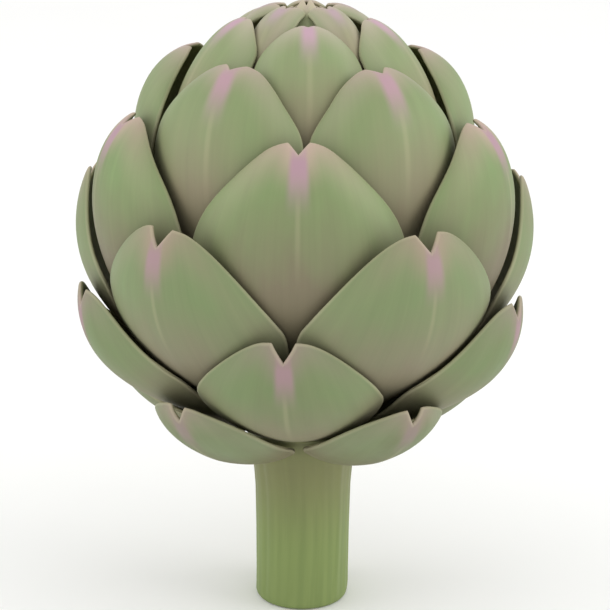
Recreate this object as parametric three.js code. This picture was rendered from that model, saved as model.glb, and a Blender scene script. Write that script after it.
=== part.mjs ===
import * as THREE from 'three';

// A whole globe artichoke on a short cut stem. Millimetres, +Z up, the stem axis is Z,
// z = 0 is the flat cut end of the stem. The bracts ("leaves") grow in rings of five, each
// ring turned half a step from the one below it.

// Stem and heart: one solid of revolution, [radius, height] from the cut end to the dome.
const STEM_SIDES = 36;
const STEM_AND_HEART = [
  [10.3, 0], [10.8, 0.4], [10.9, 1.2], [10.9, 6], [11, 18], [11.2, 28], [11.5, 32], [12, 36],
  [12.6, 38.4], [13, 40], [13, 43], [15.4, 44.6], [17.2, 50.2], [20.2, 52.3], [19.6, 54.6],
  [19.8, 57.5], [17.8, 59.1], [16.8, 60.6], [15.1, 61.9], [12.8, 62.5], [8.7, 63.3], [4.4, 63.8],
];
const HEART_TOP = 64;
const STEM_COLOUR = 0x7f8a57;
const STEM_ROUGHNESS = 0.65;

// One entry for each ring, from the stem up to the closed tip.
//   bracts  for each bract its direction in degrees from the front, positive to the right,
//           then how far it stands out and up from the ring's own place
//   line    the bract's middle line as four curve points [distance from the axis, height]
//   cup     radius of the bract's hollow across it, at its foot, its widest place and its tip
//   spread  half the angle the cupped cross-section turns through, degrees
//   foot    how much of that angle the foot keeps
//   widest  where along the line the bract is widest
//   notch   how far the V notch cuts down from the tip, as a share of the line
//   lobe    where the two rounded lobes beside the notch sit, as a share of the half width
//   curve   how full the edge is between lobe and widest place
//   wall    thickness in the middle of the foot and at the thin edge
const RINGS = [
  {
    bracts: [[31.7, 0.1, -0.2], [99.5, 0, 0], [177.5, 0, 0], [-101.5, 0, 0], [-36.4, 0, -0.7]],
    line: [[13.6, 40.3], [34.3, 39.9], [46.7, 55], [45.9, 61.5]], cup: [15.5, 19, 8.6],
    spread: 47, foot: 0.68, widest: 0.2, notch: 0.165, lobe: 0.27, curve: [3.5, 2.9],
    wall: [2.4, 1], colour: 0x8c9274,
  },
  {
    bracts: [[-4.7, 0, -0.4], [64.7, 1.1, 0.5], [141, 0.2, 0], [-147, 0.2, 0], [-70.1, 1.6, 1.6]],
    line: [[18, 46.4], [54.3, 56], [51.3, 74.6], [50.9, 80.1]], cup: [28.4, 27.5, 10.6],
    spread: 47.6, foot: 0.51, widest: 0.29, notch: 0.187, lobe: 0.3, curve: [3.1, 2.9],
    wall: [2.6, 1], colour: 0x899170,
  },
  {
    bracts: [[30.2, 0.5, 0.1], [101.4, 0.6, 0.2], [177.5, 0, 0], [-104, 0.9, 0.9], [-37.2, -0.6, -0.4]],
    line: [[21.5, 52.8], [60.2, 71.9], [53.4, 95.4], [50, 101.7]], cup: [36.6, 31.6, 12.1],
    spread: 48.5, foot: 0.3, widest: 0.4, notch: 0.154, lobe: 0.28, curve: [3.3, 2.7],
    wall: [2.6, 1], colour: 0x879070,
  },
  {
    bracts: [[-1.9, 0.1, 0.9], [68.5, 0.3, 0.4], [142.1, 0, 0], [-145.9, 0, 0], [-72.2, 0.3, 0.7]],
    line: [[21.5, 56.1], [53.7, 74.9], [53, 111.8], [38.3, 118.8]], cup: [23.8, 24.5, 11.8],
    spread: 63.1, foot: 0.53, widest: 0.6, notch: 0.078, lobe: 0.18, curve: [3, 2.5],
    wall: [2.4, 1], colour: 0x8c9575,
  },
  {
    bracts: [[35.1, -0.3, 0.2], [107, -0.1, -0.2], [180.4, 0, 0], [-106, 0.3, 0], [-34.7, -0.2, 0.7]],
    line: [[20.1, 58.4], [41.6, 88.1], [47.1, 127], [25.7, 131.6]], cup: [16.8, 19.1, 13.3],
    spread: 57.5, foot: 0.35, widest: 0.85, notch: 0.046, lobe: 0.2, curve: [2.9, 2.5],
    wall: [2.2, 1], colour: 0x939b79,
  },
  {
    bracts: [[1.6, 0.1, 0], [71.5, -0.1, 0], [145.7, 0, 0], [-142.3, 0, 0], [-68.2, -0.1, 0.1]],
    line: [[17.1, 61], [47.7, 103.4], [25.3, 138.8], [13.6, 139.4]], cup: [7.2, 12.9, 8.6],
    spread: 56.2, foot: 0.59, widest: 0.85, notch: 0.033, lobe: 0.16, curve: [1.6, 2.4],
    wall: [2, 1], colour: 0x9aa280,
  },
  {
    bracts: [[36, -0.1, -0.2], [108, 0, -0.6], [180, 0, -0.6], [-108, 0, -0.6], [-36, -0.2, -0.2]],
    line: [[12.9, 63.5], [25.6, 94.3], [26.3, 141.9], [5.5, 142.3]], cup: [9.6, 7.4, 6.6],
    spread: 42.8, foot: 0.5, widest: 0.86, notch: 0.045, lobe: 0.37, curve: [10, 5],
    wall: [1.7, 1], colour: 0xa3a488,
  },
  {
    bracts: [[0, -2.2, 2.2], [72, 0, 0], [144, 0, 0], [-144, 0, 0], [-72, 0, 0]],
    line: [[9, 63.7], [18.7, 89.5], [20.5, 133], [4.2, 141]], cup: [7.4, 9.1, 5.5],
    spread: 48.2, foot: 0.6, widest: 0.68, notch: 0.04, lobe: 0.15, curve: [1.6, 1.5],
    wall: [1.4, 0.9], colour: 0xaaa98c,
  },
  {
    bracts: [[36, 0, 0], [108, 0, 0], [180, 0, 0], [-108, 0, 0], [-36, 0, 0]],
    line: [[4.6, 64.2], [10.4, 89.5], [9.7, 121.7], [1.3, 138.6]], cup: [4.1, 5.3, 2.3],
    spread: 47.8, foot: 0.6, widest: 0.6, notch: 0.03, lobe: 0.15, curve: [1.5, 1.4],
    wall: [1.1, 0.9], colour: 0xb0ae90,
  },
];

const BRACT_ROUGHNESS = 0.6;
// How the sides of the notch bend: 1 is straight, more is hollow.
const NOTCH_BEND = 1.15;
// Share of the full wall that the flesh keeps close to the side edges.
const SIDE_FLESH = 0.35;
// Step along and across the outer face from which its slope is taken.
const SLOPE_STEP = 0.002;
// Mesh columns on each side of the notch, and rows from foot to edge.
const OUTER_GRID = [4, 6];
const INNER_GRID = [3, 5];
const OUTER_RINGS = 7;

const radians = (degrees) => (degrees * Math.PI) / 180;
const mix = (a, b, s) => a + (b - a) * s;

function mesh(name, points, faces, colour, roughness) {
  const geometry = new THREE.BufferGeometry();
  geometry.setAttribute('position', new THREE.Float32BufferAttribute(points.flat(), 3));
  geometry.setIndex(faces.flat());
  const material = new THREE.MeshStandardMaterial({ color: colour, roughness, metalness: 0 });
  const part = new THREE.Mesh(geometry, material);
  part.name = name;
  return part;
}

// Point and direction of the bract's middle line, s from 0 at the foot to 1 at the tip.
function middleLine([a, b, c, d], s) {
  const k = 1 - s;
  const at = (i) => k * k * k * a[i] + 3 * k * k * s * b[i] + 3 * k * s * s * c[i] + s * s * s * d[i];
  const way = (i) => k * k * (b[i] - a[i]) + 2 * k * s * (c[i] - b[i]) + s * s * (d[i] - c[i]);
  const length = Math.hypot(way(0), way(1));
  return { r: at(0), z: at(1), dr: way(0) / length, dz: way(1) / length };
}

// Cup radius along the line: a smooth curve through the foot, widest and tip values.
function cupRadius({ cup, widest }, s) {
  const foot = ((s - widest) * (s - 1)) / widest;
  const wide = (s * (s - 1)) / (widest * (widest - 1));
  const tip = (s * (s - widest)) / (1 - widest);
  return cup[0] * foot + cup[1] * wide + cup[2] * tip;
}

// Point on the bract's outer face; across runs from -1 at one edge to 1 at the other.
function facePoint(ring, s, across) {
  const line = middleLine(ring.line, s);
  const radius = cupRadius(ring, s);
  const opening = s < ring.widest ? mix(ring.foot, 1, Math.sin((Math.PI / 2) * (s / ring.widest))) : 1;
  const angle = across * radians(ring.spread) * opening;
  const inward = radius * (1 - Math.cos(angle));
  const out = line.r - line.dz * inward;
  return new THREE.Vector3(radius * Math.sin(angle), -out, line.z + line.dr * inward);
}

// The same point moved inwards through the flesh, square to the outer face.
function innerPoint(ring, s, across) {
  const h = SLOPE_STEP;
  const sideways = facePoint(ring, s, across + h).sub(facePoint(ring, s, across - h));
  const upwards = facePoint(ring, s + h, across).sub(facePoint(ring, s - h, across));
  const outward = sideways.cross(upwards).normalize();
  const body = 1 - across * across;
  const [thick, thin] = ring.wall;
  const wall = thin + (thick - thin) * body * (1 - s) * Math.min(1, SIDE_FLESH + body);
  return facePoint(ring, s, across).addScaledVector(outward, -wall);
}

// How far up the line the outline reaches: two lobes with a notch between, then round to the side.
function outline(ring, across) {
  const a = Math.abs(across);
  if (a < ring.lobe) return 1 - ring.notch * Math.pow(1 - a / ring.lobe, NOTCH_BEND);
  const u = (a - ring.lobe) / (1 - ring.lobe);
  const [rise, fall] = ring.curve;
  return mix(ring.widest, 1, Math.pow(Math.max(0, 1 - Math.pow(u, rise)), 1 / fall));
}

function bract(name, ring, [direction, out, up], columns, rows) {
  const half = [0];
  for (let i = 0; i <= columns; i += 1) {
    half.push(mix(ring.lobe, 1, Math.sin((Math.PI / 2) * (i / columns))));
  }
  const places = [...half.slice(1).reverse().map((p) => -p), ...half];
  const wide = places.length;
  const outer = [];
  const inner = [];
  const upright = new THREE.Vector3(0, 0, 1);
  const shift = new THREE.Vector3(0, -out, up);
  const placed = (v) => v.add(shift).applyAxisAngle(upright, radians(direction)).toArray();
  for (let j = 0; j <= rows; j += 1) {
    for (const across of places) {
      const s = (j / rows) * outline(ring, across);
      outer.push(placed(facePoint(ring, s, across)));
      inner.push(placed(innerPoint(ring, s, across)));
    }
  }
  const count = outer.length;
  const faces = [];
  const quad = (a, b, c, d) => faces.push([a, b, c], [a, c, d]);
  for (let j = 0; j < rows; j += 1) {
    for (let i = 0; i < wide - 1; i += 1) {
      const a = j * wide + i;
      quad(a, a + 1, a + wide + 1, a + wide);
      quad(count + a, count + a + wide, count + a + wide + 1, count + a + 1);
    }
  }
  const top = rows * wide;
  for (let i = 0; i < wide - 1; i += 1) {
    quad(i + 1, i, count + i, count + i + 1);
    quad(top + i, top + i + 1, count + top + i + 1, count + top + i);
  }
  for (let j = 0; j < rows; j += 1) {
    const left = j * wide;
    const right = left + wide - 1;
    quad(left, left + wide, count + left + wide, count + left);
    quad(right + wide, right, count + right, count + right + wide);
  }
  return mesh(name, [...outer, ...inner], faces, ring.colour, BRACT_ROUGHNESS);
}

function stemAndHeart() {
  const points = [];
  for (const [radius, height] of STEM_AND_HEART) {
    for (let i = 0; i < STEM_SIDES; i += 1) {
      const angle = radians((360 * i) / STEM_SIDES);
      points.push([radius * Math.cos(angle), radius * Math.sin(angle), height]);
    }
  }
  const cutMiddle = points.push([0, 0, 0]) - 1;
  const domeMiddle = points.push([0, 0, HEART_TOP]) - 1;
  const faces = [];
  const last = (STEM_AND_HEART.length - 1) * STEM_SIDES;
  for (let i = 0; i < STEM_SIDES; i += 1) {
    const next = (i + 1) % STEM_SIDES;
    faces.push([cutMiddle, next, i], [domeMiddle, last + i, last + next]);
    for (let j = 0; j < last; j += STEM_SIDES) {
      faces.push([j + i, j + next, j + STEM_SIDES + next]);
      faces.push([j + i, j + STEM_SIDES + next, j + STEM_SIDES + i]);
    }
  }
  return mesh('stem_and_heart', points, faces, STEM_COLOUR, STEM_ROUGHNESS);
}

const artichoke = new THREE.Group();
artichoke.add(stemAndHeart());
RINGS.forEach((ring, level) => {
  const [columns, rows] = level < OUTER_RINGS ? OUTER_GRID : INNER_GRID;
  ring.bracts.forEach((place, i) => {
    const name = `bract_r${level + 1}_${i + 1}`;
    artichoke.add(bract(name, ring, place, columns, rows));
  });
});

export default artichoke;
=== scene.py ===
import math

import bpy
import numpy as np
from mathutils import Matrix, Vector


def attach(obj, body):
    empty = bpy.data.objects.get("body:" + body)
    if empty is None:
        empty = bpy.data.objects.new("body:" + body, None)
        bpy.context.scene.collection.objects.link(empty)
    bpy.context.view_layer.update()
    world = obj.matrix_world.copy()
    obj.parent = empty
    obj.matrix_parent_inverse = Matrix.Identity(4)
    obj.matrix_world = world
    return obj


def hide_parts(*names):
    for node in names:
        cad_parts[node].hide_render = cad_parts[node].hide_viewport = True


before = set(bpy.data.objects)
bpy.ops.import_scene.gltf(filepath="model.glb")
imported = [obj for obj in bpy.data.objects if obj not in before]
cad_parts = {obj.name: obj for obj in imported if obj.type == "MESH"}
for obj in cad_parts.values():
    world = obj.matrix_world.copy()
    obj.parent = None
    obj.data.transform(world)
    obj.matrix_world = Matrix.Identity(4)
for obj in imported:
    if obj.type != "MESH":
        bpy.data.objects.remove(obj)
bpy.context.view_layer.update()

# ---------------------------------------------------------------------------------------------
# Stem and heart
# The plant's own flower stalk, cut off straight below the head. It is fibrous green flesh under
# a thin ribbed skin, and it swells into the hidden heart that every bract grows out of.
# ---------------------------------------------------------------------------------------------
MM = 0.001

# Radius and height in mm, from the cut end up to the top of the heart.
STEM_PROFILE = [
    (10.3, 0), (10.55, 0.12), (10.75, 0.4), (10.88, 0.85), (10.92, 1.4), (10.92, 3), (10.9, 6),
    (11, 18), (11.2, 28), (11.5, 32), (12, 36), (12.6, 38.4), (13, 40), (13, 43), (15.4, 44.6),
    (17.2, 50.2), (20.2, 52.3), (19.6, 54.6), (19.8, 57.5), (17.8, 59.1), (16.8, 60.6), (15.1, 61.9),
    (12.8, 62.5), (8.7, 63.3), (4.4, 63.8), (0.6, 63.98),
]
STEM_SIDES = 240
STEM_STEP_MM = 1.0
# Each rib: how many go round the stem, how far it stands out in mm, and where it starts.
STEM_RIBS = [(5, 0.16, 0.4), (9, 0.1, 1.9), (16, 0.07, 0.7), (27, 0.04, 2.6)]
RIB_FADE_MM = (0.6, 2.5)
# Inside the head the ribs die out: the height where they are gone, and over how many mm.
RIB_END_MM = 42
RIB_END_FADE_MM = 4
# The ribs wander round the stem by this angle in radians, as the sine of height over this length.
RIB_WANDER = 0.05
RIB_WANDER_MM = 13
HEART_TOP_MM = 64
# Radius in mm at which the stem's pattern is wrapped round it.
STEM_WRAP_MM = 11


def paint(code):
    """Turns an sRGB hex colour into the linear colour that a shader takes."""
    parts = [int(code[i:i + 2], 16) / 255 for i in (1, 3, 5)]
    return tuple(c / 12.92 if c <= 0.04045 else ((c + 0.055) / 1.055) ** 2.4 for c in parts) + (1.0,)


def add_node(material, kind, settings, inputs):
    """Adds one node: an input given as another node's socket is linked, anything else is set."""
    made = material.node_tree.nodes.new(kind)
    for name, value in settings.items():
        setattr(made, name, value)
    for key, value in inputs.items():
        if isinstance(value, bpy.types.NodeSocket):
            material.node_tree.links.new(value, made.inputs[key])
        else:
            made.inputs[key].default_value = value
    return made


def noise(material, place, stretch, detail, roughness):
    """A noise value; stretch is how many patches there are to each unit of place."""
    way = add_node(material, "ShaderNodeVectorMath", {"operation": "MULTIPLY"},
                   {0: place.outputs["Vector"], 1: stretch})
    made = add_node(material, "ShaderNodeTexNoise", {},
                    {"Vector": way.outputs[0], "Scale": 1.0, "Detail": detail, "Roughness": roughness})
    return made.outputs["Fac"]


def smooth(material, value, start, end, at_start, at_end):
    """Goes softly from one value to another while value runs from start to end."""
    made = add_node(material, "ShaderNodeMapRange", {"interpolation_type": "SMOOTHSTEP"},
                    {"Value": value, "From Min": start, "From Max": end,
                     "To Min": at_start, "To Max": at_end})
    return made.outputs[0]


def mix_colour(material, share, first, second):
    """The first colour where share is 0, the second where it is 1."""
    made = add_node(material, "ShaderNodeMix", {"data_type": "RGBA"}, {0: share, 6: first, 7: second})
    return made.outputs[2]


def empty_material(name):
    material = bpy.data.materials.new(name)
    material.use_nodes = True
    material.node_tree.nodes.clear()
    return material


def stem_skin():
    """Fresh artichoke stem skin: thin, faintly waxy and fibrous, so the eye sees a satin green
    with long paler and darker streaks. Where it runs up under the bracts it is painted greyer and browner
    as shade."""
    m = empty_material("stem_skin_fresh")
    place = add_node(m, "ShaderNodeAttribute", {"attribute_name": "stem_mm"}, {})
    xyz = add_node(m, "ShaderNodeSeparateXYZ", {}, {0: place.outputs["Vector"]})
    # Streaks about 1.6 mm wide that run some 40 mm along the stem.
    streaks = noise(m, place, (1 / 1.6, 1 / 40, 1 / 1.6), 3.0, 0.55)
    # Cloudy patches about 12 mm across.
    clouds = noise(m, place, (1 / 12, 1 / 22, 1 / 12), 2.0, 0.5)
    # Fibres a third of a millimetre apart, drawn at 0.7 mm so that they show.
    fibres = noise(m, place, (1 / 0.7, 1 / 18, 1 / 0.7), 2.0, 0.6)
    streak_share = smooth(m, streaks, 0.34, 0.66, 0.0, 1.0)
    green = mix_colour(m, streak_share, paint("#708249"), paint("#829256"))
    cloudy = mix_colour(m, clouds, green, paint("#7A8A50"))
    # Painted shade: the stem goes darker and browner over its upper half, up to where the bracts grow out
    # of it and shade it.
    painted_stem_shade = smooth(m, xyz.outputs[1], 12.0, 37.0, 0.0, 0.72)
    body = mix_colour(m, painted_stem_shade, cloudy, paint("#787450"))
    bump = add_node(m, "ShaderNodeBump", {}, {"Height": fibres, "Strength": 0.3, "Distance": 0.12 * MM})
    satin = add_node(m, "ShaderNodeMapRange", {}, {"Value": streaks, "To Min": 0.48, "To Max": 0.62})
    shader = add_node(m, "ShaderNodeBsdfPrincipled", {},
                      {"Base Color": body, "Roughness": satin.outputs[0],
                       "Normal": bump.outputs[0], "IOR": 1.42, "Metallic": 0.0})
    add_node(m, "ShaderNodeOutputMaterial", {}, {"Surface": shader.outputs[0]})
    return m


def stem_cut():
    """Cut stem flesh: wet pale pith inside a ring of fibre bundles, slightly browned by the air,
    so the eye sees a creamy green disc with a dotted ring near its edge."""
    m = empty_material("stem_flesh_cut")
    place = add_node(m, "ShaderNodeAttribute", {"attribute_name": "cut_mm"}, {})
    radius = add_node(m, "ShaderNodeVectorMath", {"operation": "LENGTH"}, {0: place.outputs["Vector"]})
    from_middle = radius.outputs["Value"]
    # Fibre bundles about 1.1 mm apart.
    bundles = add_node(m, "ShaderNodeTexVoronoi", {},
                       {"Vector": place.outputs["Vector"], "Scale": 1 / 1.1, "Randomness": 0.7})
    dots = smooth(m, bundles.outputs["Distance"], 0.18, 0.38, 1.0, 0.0)
    ring_start = smooth(m, from_middle, 6.6, 7.8, 0.0, 1.0)
    ring_end = smooth(m, from_middle, 9.0, 9.6, 1.0, 0.0)
    ring = add_node(m, "ShaderNodeMath", {"operation": "MULTIPLY"}, {0: ring_start, 1: ring_end})
    bundle_share = add_node(m, "ShaderNodeMath", {"operation": "MULTIPLY"}, {0: dots, 1: ring.outputs[0]})
    mottle = noise(m, place, (1 / 2.5, 1 / 2.5, 1), 3.0, 0.5)
    pith = mix_colour(m, mottle, paint("#C9CBA0"), paint("#B4B283"))
    dotted = mix_colour(m, bundle_share.outputs[0], pith, paint("#7F7A4C"))
    colour = mix_colour(m, smooth(m, from_middle, 9.3, 10.2, 0.0, 1.0), dotted, paint("#7C8A54"))
    bump = add_node(m, "ShaderNodeBump", {},
                    {"Height": bundle_share.outputs[0], "Strength": 0.4, "Distance": 0.15 * MM})
    shader = add_node(m, "ShaderNodeBsdfPrincipled", {},
                      {"Base Color": colour, "Roughness": 0.42,
                       "Normal": bump.outputs[0], "IOR": 1.38, "Metallic": 0.0})
    add_node(m, "ShaderNodeOutputMaterial", {}, {"Surface": shader.outputs[0]})
    return m


def build_mesh(name, points, faces, places, materials, slots):
    """Makes a smooth mesh object; places holds the per-point values that its materials read."""
    mesh = bpy.data.meshes.new(name)
    mesh.from_pydata(points.tolist(), [], faces)
    for key, values in places.items():
        made = mesh.attributes.new(key, "FLOAT_VECTOR", "POINT")
        made.data.foreach_set("vector", np.asarray(values, np.float32).ravel())
    for material in materials:
        mesh.materials.append(material)
    mesh.polygons.foreach_set("material_index", slots)
    mesh.polygons.foreach_set("use_smooth", [True] * len(faces))
    mesh.update()
    piece = bpy.data.objects.new(name, mesh)
    bpy.context.scene.collection.objects.link(piece)
    return piece


stem_r = np.array([r for r, z in STEM_PROFILE])
stem_z = np.array([z for r, z in STEM_PROFILE])
run = np.concatenate([[0], np.cumsum(np.hypot(np.diff(stem_r), np.diff(stem_z)))])
steps = np.unique(np.concatenate([np.arange(0, run[-1], STEM_STEP_MM), run]))
ring_r = np.interp(steps, run, stem_r)
ring_z = np.interp(steps, run, stem_z)
turn = np.arange(STEM_SIDES) * 2 * math.pi / STEM_SIDES
ribs = sum(high * np.sin(count * turn + start) for count, high, start in STEM_RIBS)
fade = np.clip((ring_z - RIB_FADE_MM[0]) / (RIB_FADE_MM[1] - RIB_FADE_MM[0]), 0, 1)
fade = fade * np.clip((RIB_END_MM - ring_z) / RIB_END_FADE_MM, 0, 1)
radius = ring_r[:, None] + fade[:, None] * ribs[None, :]
around = turn[None, :] + RIB_WANDER * np.sin(ring_z / RIB_WANDER_MM)[:, None]
stem_points = np.stack([radius * np.cos(around), radius * np.sin(around),
                        np.broadcast_to(ring_z[:, None], radius.shape)], -1).reshape(-1, 3)
stem_points = np.vstack([stem_points, [[0, 0, 0], [0, 0, HEART_TOP_MM]]])
rows = len(steps)
stem_faces = []
stem_slots = []
for j in range(rows - 1):
    for i in range(STEM_SIDES):
        n = (i + 1) % STEM_SIDES
        stem_faces.append((j * STEM_SIDES + i, j * STEM_SIDES + n,
                           (j + 1) * STEM_SIDES + n, (j + 1) * STEM_SIDES + i))
        stem_slots.append(0)
for i in range(STEM_SIDES):
    n = (i + 1) % STEM_SIDES
    stem_faces.append((rows * STEM_SIDES, n, i))
    stem_slots.append(1)
    stem_faces.append((rows * STEM_SIDES + 1, (rows - 1) * STEM_SIDES + i, (rows - 1) * STEM_SIDES + n))
    stem_slots.append(0)
wrap = np.concatenate([np.tile(turn, rows), [0, 0]])
stem_place = np.stack([STEM_WRAP_MM * np.cos(wrap), stem_points[:, 2], STEM_WRAP_MM * np.sin(wrap)], -1)
cut_place = np.stack([stem_points[:, 0], stem_points[:, 1], np.zeros(len(wrap))], -1)
stem = build_mesh("cut_stem", stem_points * MM, stem_faces,
                  {"stem_mm": stem_place, "cut_mm": cut_place}, [stem_skin(), stem_cut()], stem_slots)
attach(stem, "root")
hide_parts("stem_and_heart")

# ---------------------------------------------------------------------------------------------
# Ring 1: the five lowest bracts
# Each bract is one fleshy, leathery scale of the flower bud. It is cupped round the head, notched
# at its tip, and grows out of the heart by its thick foot; these five are short and lie low.
# ---------------------------------------------------------------------------------------------
COLUMNS_NOTCH = 7
COLUMNS_SIDE = 17
ROWS = 44
# Distances in from the edge, in mm, that get their own row of points so that the edge is round.
EDGE_ROWS = (0.12, 0.32, 0.62)
# Distance in from the edge, in mm, over which the wall swells to its full thickness.
EDGE_ROUND = 0.75
# The faint raised midrib: its height and about half its width in mm, then the share of the way
# from foot to tip by which it has risen, where it ends, and the share over which it dies out.
KEEL_HEIGHT = 0.09
KEEL_WIDTH = 1.7
KEEL_START = 0.2
KEEL_END = 0.9
KEEL_END_FADE = 0.3
# Slow waves in the outer face: their height in mm, how fast each turns across the bract and along
# it, what their sum is divided by, and the share of the way by which they have risen.
SLOW_WAVE = 0.11
WAVES = ((2.5, 2), (-3.5, 5), (5.5, 7), (1.5, 11))
WAVE_SUM = 2.6
WAVE_START = 0.25
# The inner face follows the midrib and the waves by this share.
INNER_SHARE = 0.6
# Distance in from the edge, in mm, over which the midrib and the waves fade out.
SWELL_EDGE = 3
# Above 1 the sides of the notch bow outward a little and run softly into the lobes beside it.
NOTCH_BEND = 1.15
# The edge wanders from its true outline in a few waves, each up to this share of the length.
EDGE_WAVER = 0.0016
EDGE_WAVE_TURN = 2.4
# Towards the sides the foot's extra flesh is cut by a further factor that goes down to this.
SIDE_FLESH = 0.35
# The streak's lean at the notch, as a share of the whole, and how many mm below it is whole.
LEAN_START = 0.4
LEAN_FULL_MM = 8
# Points of the edge closer together than this, in mm, are one point.
SAME_POINT_MM = 1e-6
# Points along the middle line that its length is summed over.
LENGTH_POINTS = 60
# The step in s and across that the face's normal is worked out from.
NORMAL_STEP = 0.002
# The share of the foot's colour that a bract keeps down its middle, all the way up.
MIDDLE_BROWN = 0.17
# The length in mm, foot to tip, that the patterns take a bract to have, and how far apart in the
# pattern two bracts may lie, so that no two are alike.
PATTERN_LONG_MM = 60
PATTERN_ROOM = 40


def middle_line(line, s):
    """The bract's middle line and its direction at share s of the way from foot to tip."""
    a, b, c, d = (np.array(p, float) for p in line)
    k = 1 - s[..., None]
    s = s[..., None]
    at = k ** 3 * a + 3 * k * k * s * b + 3 * k * s * s * c + s ** 3 * d
    way = k * k * (b - a) + 2 * k * s * (c - b) + s * s * (d - c)
    return at, way / np.linalg.norm(way, axis=-1, keepdims=True)


def outer_face(ring, s, across):
    """Points on the cupped outer face; across runs from -1 at one edge to 1 at the other."""
    wide = ring["widest"]
    at, way = middle_line(ring["line"], s)
    cup = (ring["cup"][0] * (s - wide) * (s - 1) / wide
           + ring["cup"][1] * s * (s - 1) / (wide * (wide - 1))
           + ring["cup"][2] * s * (s - wide) / (1 - wide))
    opening = np.where(s < wide, ring["foot"] + (1 - ring["foot"]) * np.sin(math.pi / 2 * s / wide), 1)
    angle = across * math.radians(ring["spread"]) * opening
    inward = cup * (1 - np.cos(angle))
    return np.stack([cup * np.sin(angle), inward * way[..., 1] - at[..., 0],
                     at[..., 1] + way[..., 0] * inward], -1)


def outline(ring, across):
    """How far up the middle line the edge lies: two lobes beside a notch, then round to the side."""
    a = np.abs(across)
    lobe = ring["lobe"]
    notch = 1 - ring["notch"] * np.clip(1 - a / lobe, 0, 1) ** NOTCH_BEND
    u = np.clip((a - lobe) / (1 - lobe), 0, 1)
    rise, fall = ring["curve"]
    side = ring["widest"] + (1 - ring["widest"]) * np.clip(1 - u ** rise, 0, 1) ** (1 / fall)
    return np.where(a < lobe, notch, side)


def nearest_edge(points, edge):
    """Distance in mm from each point to the edge, given as a run of points."""
    start, way = edge[:-1], np.diff(edge, axis=0)
    length = (way ** 2).sum(-1)
    best = np.full(len(points), np.inf)
    for a, w, l in zip(start, way, length):
        t = np.clip(((points - a) @ w) / l, 0, 1)
        best = np.minimum(best, ((points - a - t[:, None] * w) ** 2).sum(-1))
    return np.sqrt(best)


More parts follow.
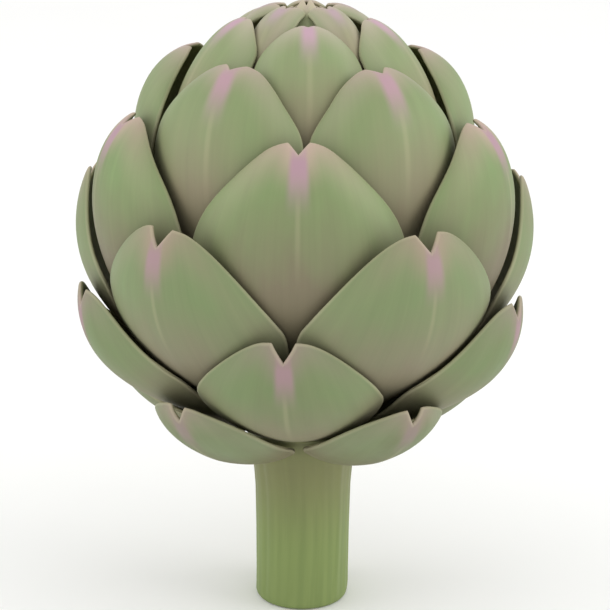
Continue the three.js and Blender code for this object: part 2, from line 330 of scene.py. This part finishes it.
def bract(name, node, ring, place, skins, seed):
    """Makes one bract: outer face, rounded edge and inner face as one closed piece."""
    rng = np.random.default_rng(seed)
    half_width = ring["cup"][1] * math.radians(ring["spread"])
    along = np.linspace(0, 1, LENGTH_POINTS)
    line, _ = middle_line(ring["line"], along)
    length = np.hypot(*np.diff(line, axis=0).T).sum()

    side_turn = math.pi / 2 * np.arange(1, COLUMNS_SIDE + 1) / COLUMNS_SIDE
    side = ring["lobe"] + (1 - ring["lobe"]) * np.sin(side_turn)
    half = np.unique(np.concatenate([np.linspace(0, ring["lobe"], COLUMNS_NOTCH), side,
                                     1 - np.array(EDGE_ROWS) / half_width]))
    across = np.concatenate([-half[:0:-1], half])
    up = np.unique(np.concatenate([np.linspace(0, 1, ROWS), 1 - np.array(EDGE_ROWS) / length]))
    waver = sum(rng.uniform(-1, 1) * np.sin(k * across * EDGE_WAVE_TURN + rng.uniform(0, 6))
                for k in (1, 2, 3, 5))
    top = outline(ring, across) * (1 - EDGE_WAVER * waver * (1 - np.abs(across) ** 6))
    s = up[:, None] * top[None, :]
    p = np.broadcast_to(across[None, :], s.shape)

    outer = outer_face(ring, s, p)
    h = NORMAL_STEP
    sideways = outer_face(ring, s, p + h) - outer_face(ring, s, p - h)
    upwards = outer_face(ring, s + h, p) - outer_face(ring, s - h, p)
    normal = np.cross(sideways, upwards)
    normal /= np.linalg.norm(normal, axis=-1, keepdims=True)

    edge = np.vstack([outer[:, 0], outer[-1], outer[::-1, -1]])
    edge = edge[np.concatenate([[True], np.abs(np.diff(edge, axis=0)).sum(-1) > SAME_POINT_MM])]
    to_edge = nearest_edge(outer.reshape(-1, 3), edge).reshape(s.shape)

    body = 1 - p * p
    thick, thin = ring["wall"]
    wall = thin + (thick - thin) * body * (1 - s) * np.minimum(1, SIDE_FLESH + body)
    middle = outer - normal * wall[..., None] / 2
    inset = np.clip(to_edge / EDGE_ROUND, 0, 1)
    half_wall = wall / 2 * np.sqrt(np.clip(1 - (1 - inset) ** 2, 0, 1))

    sideways_mm = p * half_width
    keel = KEEL_HEIGHT * np.exp(-(sideways_mm / KEEL_WIDTH) ** 2)
    keel = keel * np.clip(s / KEEL_START, 0, 1) * np.clip((KEEL_END - s) / KEEL_END_FADE, 0, 1)
    slow = sum(np.sin(kp * p + ks * s + rng.uniform(0, 6)) * rng.uniform(0.5, 1)
               for kp, ks in WAVES) / WAVE_SUM
    swell = (keel + SLOW_WAVE * slow * np.clip(s / WAVE_START, 0, 1)) * np.clip(to_edge / SWELL_EDGE, 0, 1)
    face = middle + normal * (half_wall + swell)[..., None]
    lining = middle - normal * (half_wall - INNER_SHARE * swell)[..., None]

    direction, out, lift, lean = place
    spin = np.array(Matrix.Rotation(math.radians(direction), 3, "Z"))
    shift = np.array([0, -out, lift])
    rows, wide = s.shape
    shared = np.zeros(s.shape, bool)
    shared[-1] = shared[:, 0] = shared[:, -1] = True
    outer_index = np.arange(rows * wide).reshape(rows, wide)
    inner_index = outer_index.copy()
    inner_index[~shared] = rows * wide + np.arange((~shared).sum())
    points = np.vstack([face.reshape(-1, 3), lining[~shared]])
    points = (points + shift) @ spin.T

    a, b = outer_index, inner_index
    quads = np.stack([a[:-1, :-1], a[:-1, 1:], a[1:, 1:], a[1:, :-1]], -1).reshape(-1, 4)
    backs = np.stack([b[:-1, :-1], b[1:, :-1], b[1:, 1:], b[:-1, 1:]], -1).reshape(-1, 4)
    foot = np.stack([a[0, 1:], a[0, :-1], b[0, :-1], b[0, 1:]], -1)
    faces = [tuple(dict.fromkeys(f)) for f in np.vstack([quads, backs, foot]).tolist()]
    slots = [0] * len(quads) + [1] * (len(backs) + len(foot))

    notch_s = 1 - ring["notch"]
    below_notch_mm = (notch_s - s) * length
    lean_share = LEAN_START + (1 - LEAN_START) * np.clip(below_notch_mm / LEAN_FULL_MM, 0, 1)
    off_streak_mm = sideways_mm - lean * lean_share
    mm_place = np.stack([off_streak_mm, below_notch_mm, to_edge], -1)
    share_place = np.stack([p, s, np.full(s.shape, rng.uniform(0, PATTERN_ROOM))], -1)
    spread_places = {"bract_mm": np.vstack([mm_place.reshape(-1, 3), mm_place[~shared]]),
                     "bract_share": np.vstack([share_place.reshape(-1, 3), share_place[~shared]])}
    piece = build_mesh(name, points * MM, faces, spread_places, skins, slots)
    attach(piece, "root")
    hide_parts(node)
    return piece


def waxy_skin(name, flank, foot, green_up, blush, blush_mm, streak, streak_mm, streak_long_mm, half_mm):
    """Fresh artichoke bract skin: leathery, satin, with a thin wax bloom. The eye sees a soft
    green that goes grey-brown towards the foot, partly its own colour and partly painted shade where the
    bract below covers it, a pink-beige tip, a lilac streak under the notch with a faint pale midrib
    below it, and fine fibres that run from foot to tip."""
    m = empty_material(name)
    mm_place = add_node(m, "ShaderNodeAttribute", {"attribute_name": "bract_mm"}, {})
    share_place = add_node(m, "ShaderNodeAttribute", {"attribute_name": "bract_share"}, {})
    mm_xyz = add_node(m, "ShaderNodeSeparateXYZ", {}, {0: mm_place.outputs["Vector"]})
    share = add_node(m, "ShaderNodeSeparateXYZ", {}, {0: share_place.outputs["Vector"]})
    off_middle = add_node(m, "ShaderNodeMath", {"operation": "ABSOLUTE"}, {0: share.outputs[0]})
    off_streak = add_node(m, "ShaderNodeMath", {"operation": "ABSOLUTE"}, {0: mm_xyz.outputs[0]})

    # Cloudy patches about 9 mm wide and twice as long.
    clouds = noise(m, share_place, (half_mm / 9, PATTERN_LONG_MM / 18, 1), 3.0, 0.55)
    # Soft bands about 3 mm wide that run the length of the bract.
    bands = noise(m, share_place, (half_mm / 3, PATTERN_LONG_MM / 50, 1), 2.0, 0.5)
    # Fibres 0.4 mm apart at the widest place, drawn at 1 mm so that they show.
    fibres = noise(m, share_place, (half_mm / 1.0, PATTERN_LONG_MM / 40, 1), 3.0, 0.6)

    # Green above, browner towards the foot and a little down the middle. The darkening towards the foot is
    # partly the bract's own colour and partly painted shade where the bract below overlaps it.
    foot_brown_and_shade = smooth(m, share.outputs[1], green_up[0], green_up[1], 1.0, 0.0)
    middle = smooth(m, off_middle.outputs[0], 0.05, 0.7, MIDDLE_BROWN, 0.0)
    nudge = add_node(m, "ShaderNodeMapRange", {},
                     {"Value": clouds, "From Min": 0.3, "From Max": 0.7, "To Min": -0.17, "To Max": 0.15})
    low_nudged = add_node(m, "ShaderNodeMath", {"operation": "ADD"}, {0: foot_brown_and_shade, 1: nudge.outputs[0]})
    brown = add_node(m, "ShaderNodeMath", {"operation": "ADD", "use_clamp": True},
                     {0: low_nudged.outputs[0], 1: middle})
    ground = mix_colour(m, brown.outputs[0], paint(flank), paint(foot))

    # Bands and fibres, a little paler and darker than the ground.
    band_tone = add_node(m, "ShaderNodeMapRange", {},
                         {"Value": bands, "From Min": 0.3, "From Max": 0.7,
                          "To Min": 0.968, "To Max": 1.032})
    fibre_tone = add_node(m, "ShaderNodeMapRange", {},
                          {"Value": fibres, "From Min": 0.3, "From Max": 0.7,
                           "To Min": 0.975, "To Max": 1.025})
    tone = add_node(m, "ShaderNodeMath", {"operation": "MULTIPLY"},
                    {0: band_tone.outputs[0], 1: fibre_tone.outputs[0]})
    fibred = add_node(m, "ShaderNodeVectorMath", {"operation": "SCALE"},
                      {0: ground, "Scale": tone.outputs[0]})

    # Pink-beige blush that fades down from the top edge, strongest beside the notch.
    near_edge = smooth(m, mm_xyz.outputs[2], -0.2 * blush_mm, 0.9 * blush_mm, 1.0, 0.0)
    near_notch = smooth(m, off_streak.outputs[0], 2.0, 1.05 * half_mm, 1.0, 0.05)
    blush_share = add_node(m, "ShaderNodeMath", {"operation": "MULTIPLY"}, {0: near_edge, 1: near_notch})
    blushed = mix_colour(m, blush_share.outputs[0], fibred.outputs[0], paint(blush))

    # Thin pale midrib that starts in the streak and runs out above the foot.
    rib_side = smooth(m, off_streak.outputs[0], 0.1, 0.9, 1.0, 0.0)
    rib_start = smooth(m, mm_xyz.outputs[1], 0.9 * streak_long_mm, 1.6 * streak_long_mm, 0.0, 0.18)
    rib_end = smooth(m, mm_xyz.outputs[1], 2.0 * streak_long_mm, 3.6 * streak_long_mm, 1.0, 0.0)
    rib_long = add_node(m, "ShaderNodeMath", {"operation": "MULTIPLY"}, {0: rib_start, 1: rib_end})
    rib_share = add_node(m, "ShaderNodeMath", {"operation": "MULTIPLY"},
                         {0: rib_side, 1: rib_long.outputs[0]})
    ribbed = mix_colour(m, rib_share.outputs[0], blushed, paint("#BBB492"))

    # Lilac streak below the notch, soft at its sides and slightly uneven along the fibres.
    uneven = add_node(m, "ShaderNodeMath", {"operation": "MULTIPLY_ADD"},
                      {0: bands, 1: -0.8, 2: off_streak.outputs[0]})
    streak_side = smooth(m, uneven.outputs[0], 0.5 * streak_mm - 1.7, 0.5 * streak_mm + 0.45, 1.0, 0.0)
    streak_top = smooth(m, mm_xyz.outputs[1], 0.0, 0.3 * streak_long_mm, 0.6, 0.96)
    streak_fade = smooth(m, mm_xyz.outputs[1], 0.4 * streak_long_mm, 1.85 * streak_long_mm, 1.0, 0.0)
    streak_long = add_node(m, "ShaderNodeMath", {"operation": "MULTIPLY"}, {0: streak_top, 1: streak_fade})
    streak_share = add_node(m, "ShaderNodeMath", {"operation": "MULTIPLY"},
                            {0: streak_side, 1: streak_long.outputs[0]})
    streaked = mix_colour(m, streak_share.outputs[0], ribbed, paint(streak))

    # Painted highlight: the very edge is painted paler, as a thin line of light along it.
    painted_edge_light = smooth(m, mm_xyz.outputs[2], 0.1, 0.9, 0.36, 0.0)
    edge_lit_colour = mix_colour(m, painted_edge_light, streaked, paint("#C0B898"))

    bump = add_node(m, "ShaderNodeBump", {}, {"Height": fibres, "Strength": 0.22, "Distance": 0.1 * MM})
    bloom = add_node(m, "ShaderNodeMapRange", {},
                     {"Value": clouds, "From Min": 0.3, "From Max": 0.7, "To Min": 0.54, "To Max": 0.66})
    shader = add_node(m, "ShaderNodeBsdfPrincipled", {},
                      {"Base Color": edge_lit_colour, "Roughness": bloom.outputs[0],
                       "Normal": bump.outputs[0], "IOR": 1.43, "Metallic": 0.0})
    add_node(m, "ShaderNodeOutputMaterial", {}, {"Surface": shader.outputs[0]})
    return m


def inner_skin(name, upper, lower, half_mm):
    """The inner face of a fresh bract: smooth and moist, with fine lengthwise fibres. It is painted a
    dull olive that goes browner towards the foot: painted shade, darker than its own pale green."""
    m = empty_material(name)
    mm_place = add_node(m, "ShaderNodeAttribute", {"attribute_name": "bract_mm"}, {})
    share_place = add_node(m, "ShaderNodeAttribute", {"attribute_name": "bract_share"}, {})
    mm_xyz = add_node(m, "ShaderNodeSeparateXYZ", {}, {0: mm_place.outputs["Vector"]})
    share = add_node(m, "ShaderNodeSeparateXYZ", {}, {0: share_place.outputs["Vector"]})
    # Fibres 0.5 mm apart, drawn at 1.2 mm so that they show.
    fibres = noise(m, share_place, (half_mm / 1.2, PATTERN_LONG_MM / 40, 1), 3.0, 0.6)
    height = smooth(m, share.outputs[1], 0.15, 0.7, 0.0, 1.0)
    ground = mix_colour(m, height, paint(lower), paint(upper))
    fibre_tone = add_node(m, "ShaderNodeMapRange", {},
                          {"Value": fibres, "From Min": 0.3, "From Max": 0.7,
                           "To Min": 0.92, "To Max": 1.08})
    fibred = add_node(m, "ShaderNodeVectorMath", {"operation": "SCALE"},
                      {0: ground, "Scale": fibre_tone.outputs[0]})
    # Painted highlight: the outer skin's painted pale edge wraps round onto the inner face.
    painted_edge_light = smooth(m, mm_xyz.outputs[2], 0.1, 0.7, 0.7, 0.0)
    edge_lit_colour = mix_colour(m, painted_edge_light, fibred.outputs[0], paint("#A39E80"))
    bump = add_node(m, "ShaderNodeBump", {}, {"Height": fibres, "Strength": 0.3, "Distance": 0.12 * MM})
    shader = add_node(m, "ShaderNodeBsdfPrincipled", {},
                      {"Base Color": edge_lit_colour, "Roughness": 0.5,
                       "Normal": bump.outputs[0], "IOR": 1.4, "Metallic": 0.0})
    add_node(m, "ShaderNodeOutputMaterial", {}, {"Surface": shader.outputs[0]})
    return m


def bract_ring(number, ring, places, skins):
    """Sets the five bracts of one ring round the heart."""
    for i, place in enumerate(places, 1):
        bract(f"bract_skin_r{number}_{i}", f"bract_r{number}_{i}", ring, place, skins, 100 * number + i)


# Ring tables: line holds the middle line's four curve points (distance from the axis, height),
# cup the radius of the hollow at foot, widest place and tip, spread half the angle it turns
# through, foot the share of that angle kept at the foot, wall the thickness at foot and edge.
# Widest is where the bract is widest, as a share of the line, notch its depth in the same, lobe how
# far out the two lobes lie, as a share of the half width, and curve the side outline's two powers.
# Places: direction in degrees from the front, mm out, mm up, and mm the streak leans to the right.
RING_1 = {
    "line": [(13.6, 40.3), (34.3, 39.9), (46.7, 55), (45.9, 61.5)], "cup": (15.5, 19, 8.6),
    "spread": 47, "foot": 0.68, "widest": 0.2, "notch": 0.165, "lobe": 0.27, "curve": (3.5, 2.9),
    "wall": (2.4, 1),
}
RING_1_PLACES = [
    (31.7, 0.1, -0.2, 0.3), (99.5, 0, 0, 0.4), (177.5, 0, 0, -0.6),
    (-101.5, 0, 0, 0.5), (-36.4, 0, -0.7, 0.2),
]
ring_1_skins = [
    waxy_skin("bract_skin_ring_1", flank="#798560", foot="#6F694B", green_up=(0.1, 0.6), blush="#968679",
              blush_mm=7, streak="#8E7F77", streak_mm=4.6, streak_long_mm=8, half_mm=15.6),
    # Lining colours, here and in the rings below, are painted shade set ring by ring: darker than the
    # inner face's own pale green, and lighter on the upper rings where the painted shade is weaker.
    inner_skin("bract_lining_ring_1", upper="#5E6641", lower="#6B6748", half_mm=15.6),
]
bract_ring(1, RING_1, RING_1_PLACES, ring_1_skins)

# ---------------------------------------------------------------------------------------------
# Ring 2: five bracts above the first
# Broad, short bracts half a step round from ring 1. Their thick feet are fixed to the heart's side
# and their tips bend up, so they close the bottom of the head.
# ---------------------------------------------------------------------------------------------
RING_2 = {
    "line": [(18, 46.4), (54.3, 56), (51.3, 74.6), (50.9, 80.1)], "cup": (28.4, 27.5, 10.6),
    "spread": 47.6, "foot": 0.51, "widest": 0.29, "notch": 0.187, "lobe": 0.3, "curve": (3.1, 2.9),
    "wall": (2.6, 1),
}
RING_2_PLACES = [
    (-4.7, 0, -0.4, 0.3), (64.7, 1.1, 0.5, 0.6), (141, 0.2, 0, -0.4),
    (-147, 0.2, 0, 0.3), (-70.1, 1.6, 1.6, -0.5),
]
ring_2_skins = [
    waxy_skin("bract_skin_ring_2", flank="#738358", foot="#827D63", green_up=(0.1, 0.6), blush="#928277",
              blush_mm=8, streak="#9D8185", streak_mm=5.6, streak_long_mm=10, half_mm=22.8),
    inner_skin("bract_lining_ring_2", upper="#5E6641", lower="#6B6748", half_mm=22.8),
]
bract_ring(2, RING_2, RING_2_PLACES, ring_2_skins)

# ---------------------------------------------------------------------------------------------
# Ring 3: the widest ring
# Five wide bracts that stand out furthest and give the head its greatest width. Leathery outside,
# fleshy at the foot, with a deep notch in each tip.
# ---------------------------------------------------------------------------------------------
RING_3 = {
    "line": [(21.5, 52.8), (60.2, 71.9), (53.4, 95.4), (50, 101.7)], "cup": (36.6, 31.6, 12.1),
    "spread": 48.5, "foot": 0.3, "widest": 0.4, "notch": 0.154, "lobe": 0.28, "curve": (3.3, 2.7),
    "wall": (2.6, 1),
}
RING_3_PLACES = [
    (30.2, 0.5, 0.1, 0.6), (101.4, 0.6, 0.2, -0.4), (177.5, 0, 0, 0.5),
    (-104, 0.9, 0.9, -0.6), (-37.2, -0.6, -0.4, -0.2),
]
ring_3_skins = [
    waxy_skin("bract_skin_ring_3", flank="#77885C", foot="#847D66", green_up=(0.15, 0.65), blush="#A18D7C",
              blush_mm=10, streak="#A08488", streak_mm=6, streak_long_mm=10, half_mm=26.7),
    inner_skin("bract_lining_ring_3", upper="#5E6641", lower="#6B6748", half_mm=26.7),
]
bract_ring(3, RING_3, RING_3_PLACES, ring_3_skins)

# ---------------------------------------------------------------------------------------------
# Ring 4: the large middle bracts
# Five tall bracts half a step round from ring 3, each wrapped far round the head. The one at the
# front is the largest face of the whole head.
# ---------------------------------------------------------------------------------------------
RING_4 = {
    "line": [(21.5, 56.1), (53.7, 74.9), (53, 111.8), (38.3, 118.8)], "cup": (23.8, 24.5, 11.8),
    "spread": 63.1, "foot": 0.53, "widest": 0.6, "notch": 0.078, "lobe": 0.18, "curve": (3, 2.5),
    "wall": (2.4, 1),
}
RING_4_PLACES = [
    (-1.9, 0.1, 0.9, 0.2), (68.5, 0.3, 0.4, 0.5), (142.1, 0, 0, -0.7),
    (-145.9, 0, 0, 0.4), (-72.2, 0.3, 0.7, -0.3),
]
ring_4_skins = [
    waxy_skin("bract_skin_ring_4", flank="#7B905D", foot="#7A725B", green_up=(0.35, 0.8), blush="#BEA397",
              blush_mm=11, streak="#AB8A96", streak_mm=5.6, streak_long_mm=10.5, half_mm=27),
    inner_skin("bract_lining_ring_4", upper="#5E6641", lower="#6B6748", half_mm=27),
]
bract_ring(4, RING_4, RING_4_PLACES, ring_4_skins)

# ---------------------------------------------------------------------------------------------
# Ring 5: the shoulder bracts
# Five tall bracts that bend in over the shoulder of the head. They are widest close to the tip,
# and their notch is only a small nick.
# ---------------------------------------------------------------------------------------------
RING_5 = {
    "line": [(20.1, 58.4), (41.6, 88.1), (47.1, 127), (25.7, 131.6)], "cup": (16.8, 19.1, 13.3),
    "spread": 57.5, "foot": 0.35, "widest": 0.85, "notch": 0.046, "lobe": 0.2, "curve": (2.9, 2.5),
    "wall": (2.2, 1),
}
RING_5_PLACES = [
    (35.1, -0.3, 0.2, -0.9), (107, -0.1, -0.2, 0.5), (180.4, 0, 0, 0.3),
    (-106, 0.3, 0, -0.8), (-34.7, -0.2, 0.7, 1.5),
]
ring_5_skins = [
    waxy_skin("bract_skin_ring_5", flank="#819263", foot="#8A8268", green_up=(0.4, 0.8), blush="#B59F94",
              blush_mm=10, streak="#B3919B", streak_mm=4.4, streak_long_mm=12, half_mm=19.2),
    inner_skin("bract_lining_ring_5", upper="#969A6C", lower="#6B6748", half_mm=19.2),
]
bract_ring(5, RING_5, RING_5_PLACES, ring_5_skins)

# ---------------------------------------------------------------------------------------------
# Ring 6: the upper bracts
# Five narrower bracts that lean in over the top, with the strongest lilac streak of all. Thinner
# and softer than the outer ones.
# ---------------------------------------------------------------------------------------------
RING_6 = {
    "line": [(17.1, 61), (47.7, 103.4), (25.3, 138.8), (13.6, 139.4)], "cup": (7.2, 12.9, 8.6),
    "spread": 56.2, "foot": 0.59, "widest": 0.85, "notch": 0.033, "lobe": 0.16, "curve": (1.6, 2.4),
    "wall": (2, 1),
}
RING_6_PLACES = [
    (1.6, 0.1, 0, 0.1), (71.5, -0.1, 0, -0.5), (145.7, 0, 0, 0.6),
    (-142.3, 0, 0, -0.3), (-68.2, -0.1, 0.1, 0.4),
]
ring_6_skins = [
    waxy_skin("bract_skin_ring_6", flank="#88986A", foot="#8C8468", green_up=(0.45, 0.8), blush="#BDAF9F",
              blush_mm=9, streak="#BE9BAB", streak_mm=3.9, streak_long_mm=12, half_mm=12.7),
    inner_skin("bract_lining_ring_6", upper="#83865E", lower="#6B6748", half_mm=12.7),
]
bract_ring(6, RING_6, RING_6_PLACES, ring_6_skins)

# ---------------------------------------------------------------------------------------------
# Ring 7: the crown's rim
# Five blunt bracts that stand edge to edge round the small opening at the top. Thin, and almost
# upright until the tip turns in.
# ---------------------------------------------------------------------------------------------
RING_7 = {
    "line": [(12.9, 63.5), (25.6, 94.3), (26.3, 141.9), (5.5, 142.3)], "cup": (9.6, 7.4, 6.6),
    "spread": 42.8, "foot": 0.5, "widest": 0.86, "notch": 0.045, "lobe": 0.37, "curve": (10, 5),
    "wall": (1.7, 1),
}
RING_7_PLACES = [
    (36, -0.1, -0.2, 0), (108, 0, -0.6, 0.3), (180, 0, -0.6, -0.3),
    (-108, 0, -0.6, 0.4), (-36, -0.2, -0.2, -0.2),
]
ring_7_skins = [
    waxy_skin("bract_skin_ring_7", flank="#8E9972", foot="#8C8468", green_up=(0.6, 0.93), blush="#BAA99A",
              blush_mm=8, streak="#B49CA2", streak_mm=3.2, streak_long_mm=7, half_mm=5.5),
    inner_skin("bract_lining_ring_7", upper="#8F8C66", lower="#6B6748", half_mm=5.5),
]
bract_ring(7, RING_7, RING_7_PLACES, ring_7_skins)

# ---------------------------------------------------------------------------------------------
# Ring 8: inside the crown
# Five slim pale bracts that close the opening from within. Thin and tender, as the sun hardly
# reaches them.
# ---------------------------------------------------------------------------------------------
RING_8 = {
    "line": [(9, 63.7), (18.7, 89.5), (20.5, 133), (4.2, 141)], "cup": (7.4, 9.1, 5.5),
    "spread": 48.2, "foot": 0.6, "widest": 0.68, "notch": 0.04, "lobe": 0.15, "curve": (1.6, 1.5),
    "wall": (1.4, 0.9),
}
RING_8_PLACES = [(0, -2.2, 2.2, 0), (72, 0, 0, 0), (144, 0, 0, 0), (-144, 0, 0, 0), (-72, 0, 0, 0)]
ring_8_skins = [
    # The flank colour is partly the inner bracts' own pale green and partly painted light, lifted to
    # brighten the shaded wedge inside the crown.
    waxy_skin("bract_skin_ring_8", flank="#C2CE9C", foot="#8C8468", green_up=(0.6, 0.9), blush="#BDA99A",
              blush_mm=4, streak="#B3A894", streak_mm=2.6, streak_long_mm=3, half_mm=7.7),
    inner_skin("bract_lining_ring_8", upper="#8F8866", lower="#6B6748", half_mm=7.7),
]
bract_ring(8, RING_8, RING_8_PLACES, ring_8_skins)

# ---------------------------------------------------------------------------------------------
# Ring 9: the closed heart of the head
# The five innermost bracts, slim, pale and tender, whose tips almost meet on the axis. They grow
# from the very top of the heart and close the head.
# ---------------------------------------------------------------------------------------------
RING_9 = {
    "line": [(4.6, 64.2), (10.4, 89.5), (9.7, 121.7), (1.3, 138.6)], "cup": (4.1, 5.3, 2.3),
    "spread": 47.8, "foot": 0.6, "widest": 0.6, "notch": 0.03, "lobe": 0.15, "curve": (1.5, 1.4),
    "wall": (1.1, 0.9),
}
RING_9_PLACES = [(36, 0, 0, 0), (108, 0, 0, 0), (180, 0, 0, 0), (-108, 0, 0, 0), (-36, 0, 0, 0)]
ring_9_skins = [
    waxy_skin("bract_skin_ring_9", flank="#B4BC94", foot="#90856E", green_up=(0.6, 0.93), blush="#AF9F90",
              blush_mm=6, streak="#B9A0A8", streak_mm=1.8, streak_long_mm=5, half_mm=4.4),
    inner_skin("bract_lining_ring_9", upper="#8F8866", lower="#6B6748", half_mm=4.4),
]
bract_ring(9, RING_9, RING_9_PLACES, ring_9_skins)

# ---------------------------------------------------------------------------------------------
# Floor, light and camera
# A pale, plain studio floor that runs far back, lit by a white surround and one weak, wide soft
# lamp at each side, the right one a little stronger.
# ---------------------------------------------------------------------------------------------
FLOOR_HALF = 30.0
# The floor lies this far under the stem's cut end, in metres, so that the two never share a plane.
FLOOR_GAP = 0.0002
# Matt white paint has no gloss and a faint grain, so the eye sees an even pale floor.
GRAIN_MM = 2.5
floor_material = empty_material("floor_matt_white_paint")
grain = add_node(floor_material, "ShaderNodeTexNoise", {}, {"Scale": 1 / (GRAIN_MM * MM), "Detail": 2.0})
floor_tone = add_node(floor_material, "ShaderNodeMix", {"data_type": "RGBA"},
                      {0: grain.outputs["Fac"], 6: paint("#F6F6F4"), 7: paint("#FAFAF9")})
floor_shader = add_node(floor_material, "ShaderNodeBsdfPrincipled", {},
                        {"Base Color": floor_tone.outputs[2], "Roughness": 0.9, "IOR": 1.3})
add_node(floor_material, "ShaderNodeOutputMaterial", {}, {"Surface": floor_shader.outputs[0]})
floor_mesh = bpy.data.meshes.new("floor")
floor_mesh.from_pydata([(-FLOOR_HALF, -FLOOR_HALF, 0), (FLOOR_HALF, -FLOOR_HALF, 0),
                        (FLOOR_HALF, FLOOR_HALF, 0), (-FLOOR_HALF, FLOOR_HALF, 0)], [], [(0, 1, 2, 3)])
floor_mesh.materials.append(floor_material)
floor = bpy.data.objects.new("floor", floor_mesh)
floor.location = (0, 0, -FLOOR_GAP)
bpy.context.scene.collection.objects.link(floor)

world = bpy.data.worlds.new("white_surround")
world.use_nodes = True
world.node_tree.nodes["Background"].inputs[0].default_value = (1, 1, 1, 1)
world.node_tree.nodes["Background"].inputs[1].default_value = 1.0
bpy.context.scene.world = world


def soft_lamp(name, place, target, size, watts):
    lamp = bpy.data.lights.new(name, "AREA")
    lamp.size = size
    lamp.energy = watts
    holder = bpy.data.objects.new(name, lamp)
    holder.location = place
    holder.rotation_mode = "QUATERNION"
    holder.rotation_quaternion = (Vector(target) - Vector(place)).to_track_quat("-Z", "Y")
    bpy.context.scene.collection.objects.link(holder)


LAMP_TARGET = (0, 0, 0.08)
LAMP_SIZE = 0.7
soft_lamp("lamp_right", (1.0, -0.2, 0.5), LAMP_TARGET, LAMP_SIZE, 3.4)
soft_lamp("lamp_left", (-1.0, -0.2, 0.5), LAMP_TARGET, LAMP_SIZE, 2.4)

CAMERA_TARGET = Vector((0, 0, 0.07567))
CAMERA_DISTANCE = 0.46
CAMERA_HEIGHT_DEG = 17.16
CAMERA_ROLL_DEG = 0.49
SENSOR_MM = 36
FRAME_PX = 610
# The distance from lens to image, in pixels of the frame, and the shift of the view in the same.
FOCAL_PX = 2000
SHIFT_PX = (1, -15)

height = math.radians(CAMERA_HEIGHT_DEG)
roll = math.radians(CAMERA_ROLL_DEG)
back = Vector((0, -math.cos(height), math.sin(height)))
right = Vector((1, 0, 0))
upright = back.cross(right)
camera_right = right * math.cos(roll) + upright * math.sin(roll)
camera_up = upright * math.cos(roll) - right * math.sin(roll)
camera_data = bpy.data.cameras.new("camera")
camera_data.sensor_width = SENSOR_MM
camera_data.lens = FOCAL_PX / FRAME_PX * SENSOR_MM
camera_data.shift_x = SHIFT_PX[0] / FRAME_PX
camera_data.shift_y = SHIFT_PX[1] / FRAME_PX
camera_data.clip_start = 0.01
camera_data.clip_end = 100
camera = bpy.data.objects.new("camera", camera_data)
camera.rotation_mode = "QUATERNION"
camera.rotation_quaternion = Matrix((camera_right, camera_up, back)).transposed().to_quaternion()
camera.location = CAMERA_TARGET + back * CAMERA_DISTANCE
bpy.context.scene.collection.objects.link(camera)
bpy.context.scene.camera = camera
bpy.context.scene.view_settings.view_transform = "Standard"
